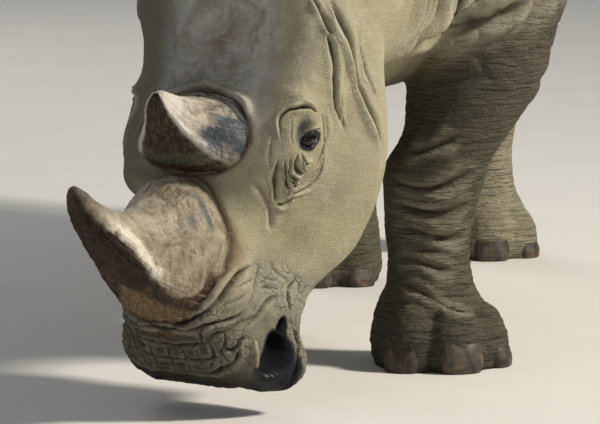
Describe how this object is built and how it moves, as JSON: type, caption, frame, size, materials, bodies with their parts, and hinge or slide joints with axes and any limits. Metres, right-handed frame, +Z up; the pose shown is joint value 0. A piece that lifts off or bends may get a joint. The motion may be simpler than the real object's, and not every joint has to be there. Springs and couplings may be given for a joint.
{
  "type": "white rhinoceros model",
  "caption": "Life-size still model of a white rhinoceros walking with its head lowered and turned to its right, muzzle just clear of the ground.",
  "frame": {"origin": "on the floor, midway across and along the bounding box", "axes": "+Z up; the animal's body faces -Y and its left side is +X; the head is turned 28 degrees to its right"},
  "size_m": [0.988, 2.9812, 1.6472],
  "materials": {
    "skin": "dry, cracked, mud-dusted hide",
    "horn": null,
    "nail": "rough dull keratin",
    "eye": "wet and glossy"
  },
  "bodies": {
    "root": {"ear_left": "skin", "ear_right": "skin", "eye_left": "eye", "eye_right": "eye", "foreleg_left": "skin", "foreleg_right": "skin", "head": "skin", "hindleg_left": "skin", "hindleg_right": "skin", "horn_front": "horn", "horn_rear": "horn", "neck": "skin", "tail": "skin", "toenail_foreleg_left_1": "nail", "toenail_foreleg_left_2": "nail", "toenail_foreleg_left_3": "nail", "toenail_foreleg_right_1": "nail", "toenail_foreleg_right_2": "nail", "toenail_foreleg_right_3": "nail", "toenail_hindleg_left_1": "nail", "toenail_hindleg_left_2": "nail", "toenail_hindleg_left_3": "nail", "toenail_hindleg_right_1": "nail", "toenail_hindleg_right_2": "nail", "toenail_hindleg_right_3": "nail", "trunk": "skin"}
  },
  "joints": []
}
